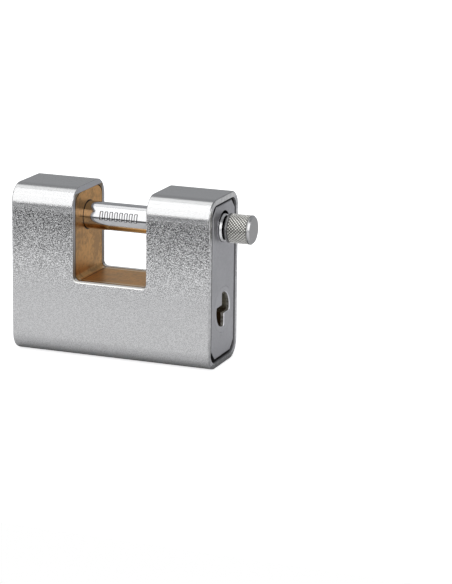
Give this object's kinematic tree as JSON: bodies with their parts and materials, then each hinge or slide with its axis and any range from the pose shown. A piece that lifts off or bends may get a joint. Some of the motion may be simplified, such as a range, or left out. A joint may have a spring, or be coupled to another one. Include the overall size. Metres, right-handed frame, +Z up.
{
  "type": "armoured padlock",
  "caption": "Block padlock: armoured steel sheath round a brass body, notched for a hasp, with a sliding straight bolt, knurled knob and end keyway.",
  "frame": {"origin": "centre of the flat base face, midway between the two open ends of the sheath", "axes": "+X along the bolt towards its knob and the key end, -Y out of the front, +Z up"},
  "size_m": [0.0802, 0.0258, 0.0565],
  "materials": {
    "satin_nickel": "bead-blasted and satin nickel plated",
    "body_brass": "milled brass",
    "plate_steel": "hardened steel, satin zinc plated",
    "bolt_chrome": "polished chrome plated, knob knurled",
    "plug_brass": "turned brass",
    "wafer_brass": "stamped brass",
    "pin_steel": "ground steel",
    "spring_steel": "spring wire"
  },
  "bodies": {
    "casing": {"armour_sheath": "satin_nickel", "lock_body": "body_brass", "key_end_plate": "plate_steel", "blind_end_plate": "plate_steel", "key_plate_dowels": "pin_steel", "blind_plate_dowels": "pin_steel", "bolt_stop_pin": "pin_steel", "pawl_spring": "spring_steel", "pawl_bore_plug": "body_brass"},
    "bolt": {"locking_bolt": "bolt_chrome"},
    "plug": {"key_plug": "plug_brass", "plug_face_disc": "plate_steel", "plug_drive_pins": "pin_steel", "snail_cam": "pin_steel", "cam_screw": "pin_steel", "wafer_spring_1": "spring_steel", "wafer_spring_2": "spring_steel", "wafer_spring_3": "spring_steel", "wafer_spring_4": "spring_steel", "wafer_spring_5": "spring_steel"},
    "pawl": {"locking_pawl": "pin_steel"},
    "wafer_1": {"wafer_1": "wafer_brass"},
    "wafer_2": {"wafer_2": "wafer_brass"},
    "wafer_3": {"wafer_3": "wafer_brass"},
    "wafer_4": {"wafer_4": "wafer_brass"},
    "wafer_5": {"wafer_5": "wafer_brass"}
  },
  "joints": [
    {"name": "bolt_slide", "type": "slide", "parent": "casing", "child": "bolt", "axis": [1, 0, 0], "range_m": [0, 0.0335]},
    {"name": "plug_turn", "type": "hinge", "parent": "casing", "child": "plug", "pos_m": [0.0305, 0, 0.0185], "axis": [1, 0, 0], "range_deg": [0, 180]},
    {"name": "pawl_lift", "type": "slide", "parent": "casing", "child": "pawl", "axis": [0, 0, 1], "range_m": [0, 0.0026], "deforming": ["pawl_spring"]},
    {"name": "wafer_1_slide", "type": "slide", "parent": "plug", "child": "wafer_1", "axis": [0, 0, 1], "range_m": [0, 0.0019], "deforming": ["wafer_spring_1"]},
    {"name": "wafer_2_slide", "type": "slide", "parent": "plug", "child": "wafer_2", "axis": [0, 0, 1], "range_m": [0, 0.0011], "deforming": ["wafer_spring_2"]},
    {"name": "wafer_3_slide", "type": "slide", "parent": "plug", "child": "wafer_3", "axis": [0, 0, 1], "range_m": [0, 0.0015], "deforming": ["wafer_spring_3"]},
    {"name": "wafer_4_slide", "type": "slide", "parent": "plug", "child": "wafer_4", "axis": [0, 0, 1], "range_m": [0, 0.0013], "deforming": ["wafer_spring_4"]},
    {"name": "wafer_5_slide", "type": "slide", "parent": "plug", "child": "wafer_5", "axis": [0, 0, 1], "range_m": [0, 0.0017], "deforming": ["wafer_spring_5"]}
  ],
  "couplings": [
    {"joint": "pawl_lift", "follows": "plug_turn", "m_per_rad": 0.0008276}
  ]
}
